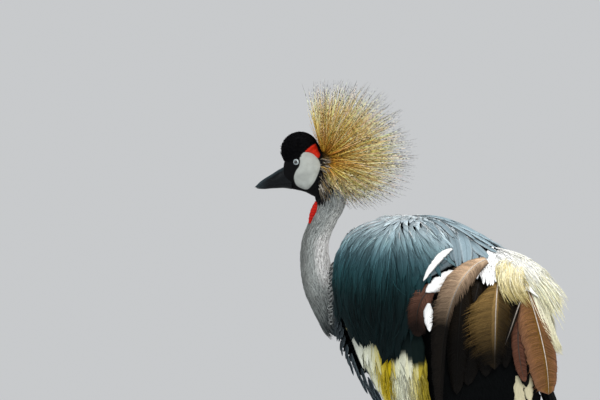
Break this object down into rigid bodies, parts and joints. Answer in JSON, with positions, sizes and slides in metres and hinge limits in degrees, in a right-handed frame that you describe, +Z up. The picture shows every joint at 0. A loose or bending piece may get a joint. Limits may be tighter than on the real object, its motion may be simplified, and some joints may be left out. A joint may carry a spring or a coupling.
{
  "type": "grey crowned crane",
  "caption": "Still, life-size model of a standing crane with a fan of stiff crest bristles, a velvet forehead, a red throat wattle, layered folded wings and long bare legs.",
  "frame": {"origin": "on the floor, under the middle of the whole bird's box", "axes": "-X is the way the body faces, -Y is the bird's left side, +Z is up; the head is turned 22 degrees to the bird's left"},
  "size_m": [0.5334, 0.2552, 0.8867],
  "materials": {
    "body_feathers": "matt slate grey feathers",
    "neck_feathers": "soft pale grey hair-like feathers",
    "head_velvet": "dense black velvet",
    "horn": "dark satin horn",
    "red_skin": "bare red skin",
    "crest_bristles": "golden straw bristles",
    "eye": "clear and wet, pale blue-grey iris",
    "white_coverts": "white feathers with a lemon and ochre wash",
    "chestnut_feathers": "chestnut brown feathers with pale shafts",
    "black_feathers": "black flight and tail feathers",
    "straw_plumes": "loose straw and cream plumes",
    "leg_skin": "dark scaly leg skin"
  },
  "bodies": {
    "root": {"torso": "body_feathers", "neck_lower": "neck_feathers", "neck_upper": "neck_feathers", "head": "head_velvet", "bill_upper": "horn", "bill_lower": "horn", "wattle": "red_skin", "crest": "crest_bristles", "eye_left": "eye", "eye_right": "eye", "wing_left_mantle": "body_feathers", "wing_right_mantle": "body_feathers", "wing_left_coverts": "white_coverts", "wing_right_coverts": "white_coverts", "wing_left_tertials": "chestnut_feathers", "wing_right_tertials": "chestnut_feathers", "wing_left_flight": "black_feathers", "wing_right_flight": "black_feathers", "wing_left_plumes": "straw_plumes", "wing_right_plumes": "straw_plumes", "tail": "black_feathers", "shank_left": "body_feathers", "shank_right": "body_feathers", "tarsus_left": "leg_skin", "tarsus_right": "leg_skin", "foot_left": "leg_skin", "foot_right": "leg_skin", "claw_left_1": "horn", "claw_left_2": "horn", "claw_left_3": "horn", "claw_left_4": "horn", "claw_right_1": "horn", "claw_right_2": "horn", "claw_right_3": "horn", "claw_right_4": "horn"}
  },
  "joints": []
}
